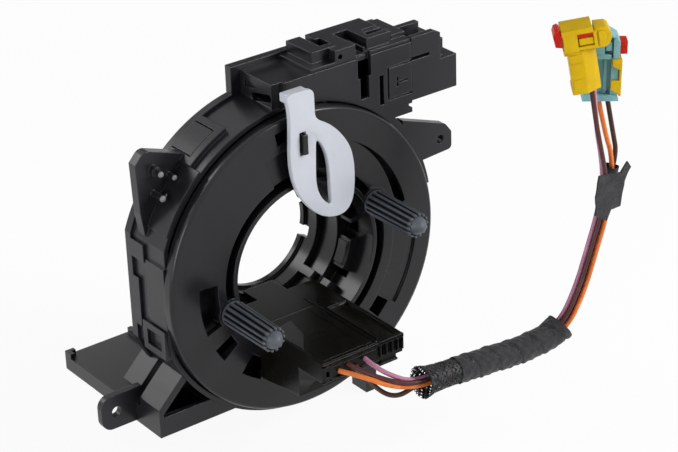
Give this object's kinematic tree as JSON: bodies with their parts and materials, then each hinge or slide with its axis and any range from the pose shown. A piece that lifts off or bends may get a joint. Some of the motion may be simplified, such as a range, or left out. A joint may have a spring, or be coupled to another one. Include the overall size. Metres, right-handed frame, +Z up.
{
  "type": "steering clock spring",
  "caption": "Steering column clock spring: a rotor disc with drive pegs, plug shelf, transport lock and wired connectors turns in a housing that holds a flat cable spiral.",
  "frame": {"origin": "on the steering column's axis, in the front face of the rotor disc", "axes": "+Y along the column axis, from the steering wheel side to the column switch side; +X to the right of somebody who faces the steering wheel side; +Z up, towards the connector block"},
  "size_m": [0.1601, 0.1158, 0.1432],
  "materials": {
    "black_housing": "satin black moulded plastic",
    "black_rotor": "polished black moulded plastic",
    "black_shelf": "polished black moulded plastic",
    "tinned_brass": "tinned brass",
    "ribbon_film": "dark laminated film over copper strips",
    "slip_film": "slippery white film",
    "grey_rubber": "grey rubber",
    "white_nylon": "white nylon",
    "orange_insulation": "orange wire insulation",
    "brown_insulation": "brown wire insulation",
    "plum_insulation": "plum wire insulation",
    "pink_insulation": "pink wire insulation",
    "braid": "braided black monofilament",
    "cloth_tape": "black cloth tape",
    "yellow_plastic": "yellow plastic",
    "teal_plastic": "teal plastic",
    "red_plastic": "red plastic"
  },
  "bodies": {
    "stator": {"housing_shell": "black_housing", "rear_cover": "black_housing", "block_cover": "black_housing", "side_connector": "black_housing", "stator_terminals": "tinned_brass", "lower_bracket": "black_housing", "bracket_tray": "black_housing", "ribbon_cable": "ribbon_film", "rear_slip_ring": "slip_film"},
    "rotor": {"rotor_disc": "black_rotor", "hub_sleeve": "black_rotor", "hub_clip_ring": "black_rotor", "front_slip_ring": "slip_film", "peg_sleeve_right": "grey_rubber", "peg_sleeve_left": "grey_rubber", "connector_shelf": "black_shelf", "shelf_lid": "black_shelf", "harness_plug": "black_shelf", "rotor_terminals": "tinned_brass", "orange_wire": "orange_insulation", "brown_wire": "brown_insulation", "plum_wire": "plum_insulation", "pink_wire": "pink_insulation", "braided_sleeve": "braid", "tape_wrap": "cloth_tape", "tape_flag": "cloth_tape", "yellow_connector": "yellow_plastic", "teal_connector": "teal_plastic", "teal_side_lock": "yellow_plastic"},
    "lock": {"transport_lock": "white_nylon"},
    "yellow_lock": {"yellow_lock_tab": "red_plastic"},
    "teal_lock": {"teal_lock_tab": "red_plastic"}
  },
  "joints": [
    {"name": "rotor_turn", "type": "hinge", "parent": "stator", "child": "rotor", "pos_m": [0, 0, 0], "axis": [0, 1, 0], "range_deg": [-900, 900]},
    {"name": "lock_pull", "type": "slide", "parent": "rotor", "child": "lock", "axis": [0, -1, 0], "range_m": [0, 0.03]},
    {"name": "yellow_lock_slide", "type": "slide", "parent": "rotor", "child": "yellow_lock", "axis": [-0.7991, 0.5805, -0.1564], "range_m": [0, 0.003]},
    {"name": "teal_lock_slide", "type": "slide", "parent": "rotor", "child": "teal_lock", "axis": [0.8046, -0.5846, -0.1045], "range_m": [0, 0.003]}
  ]
}
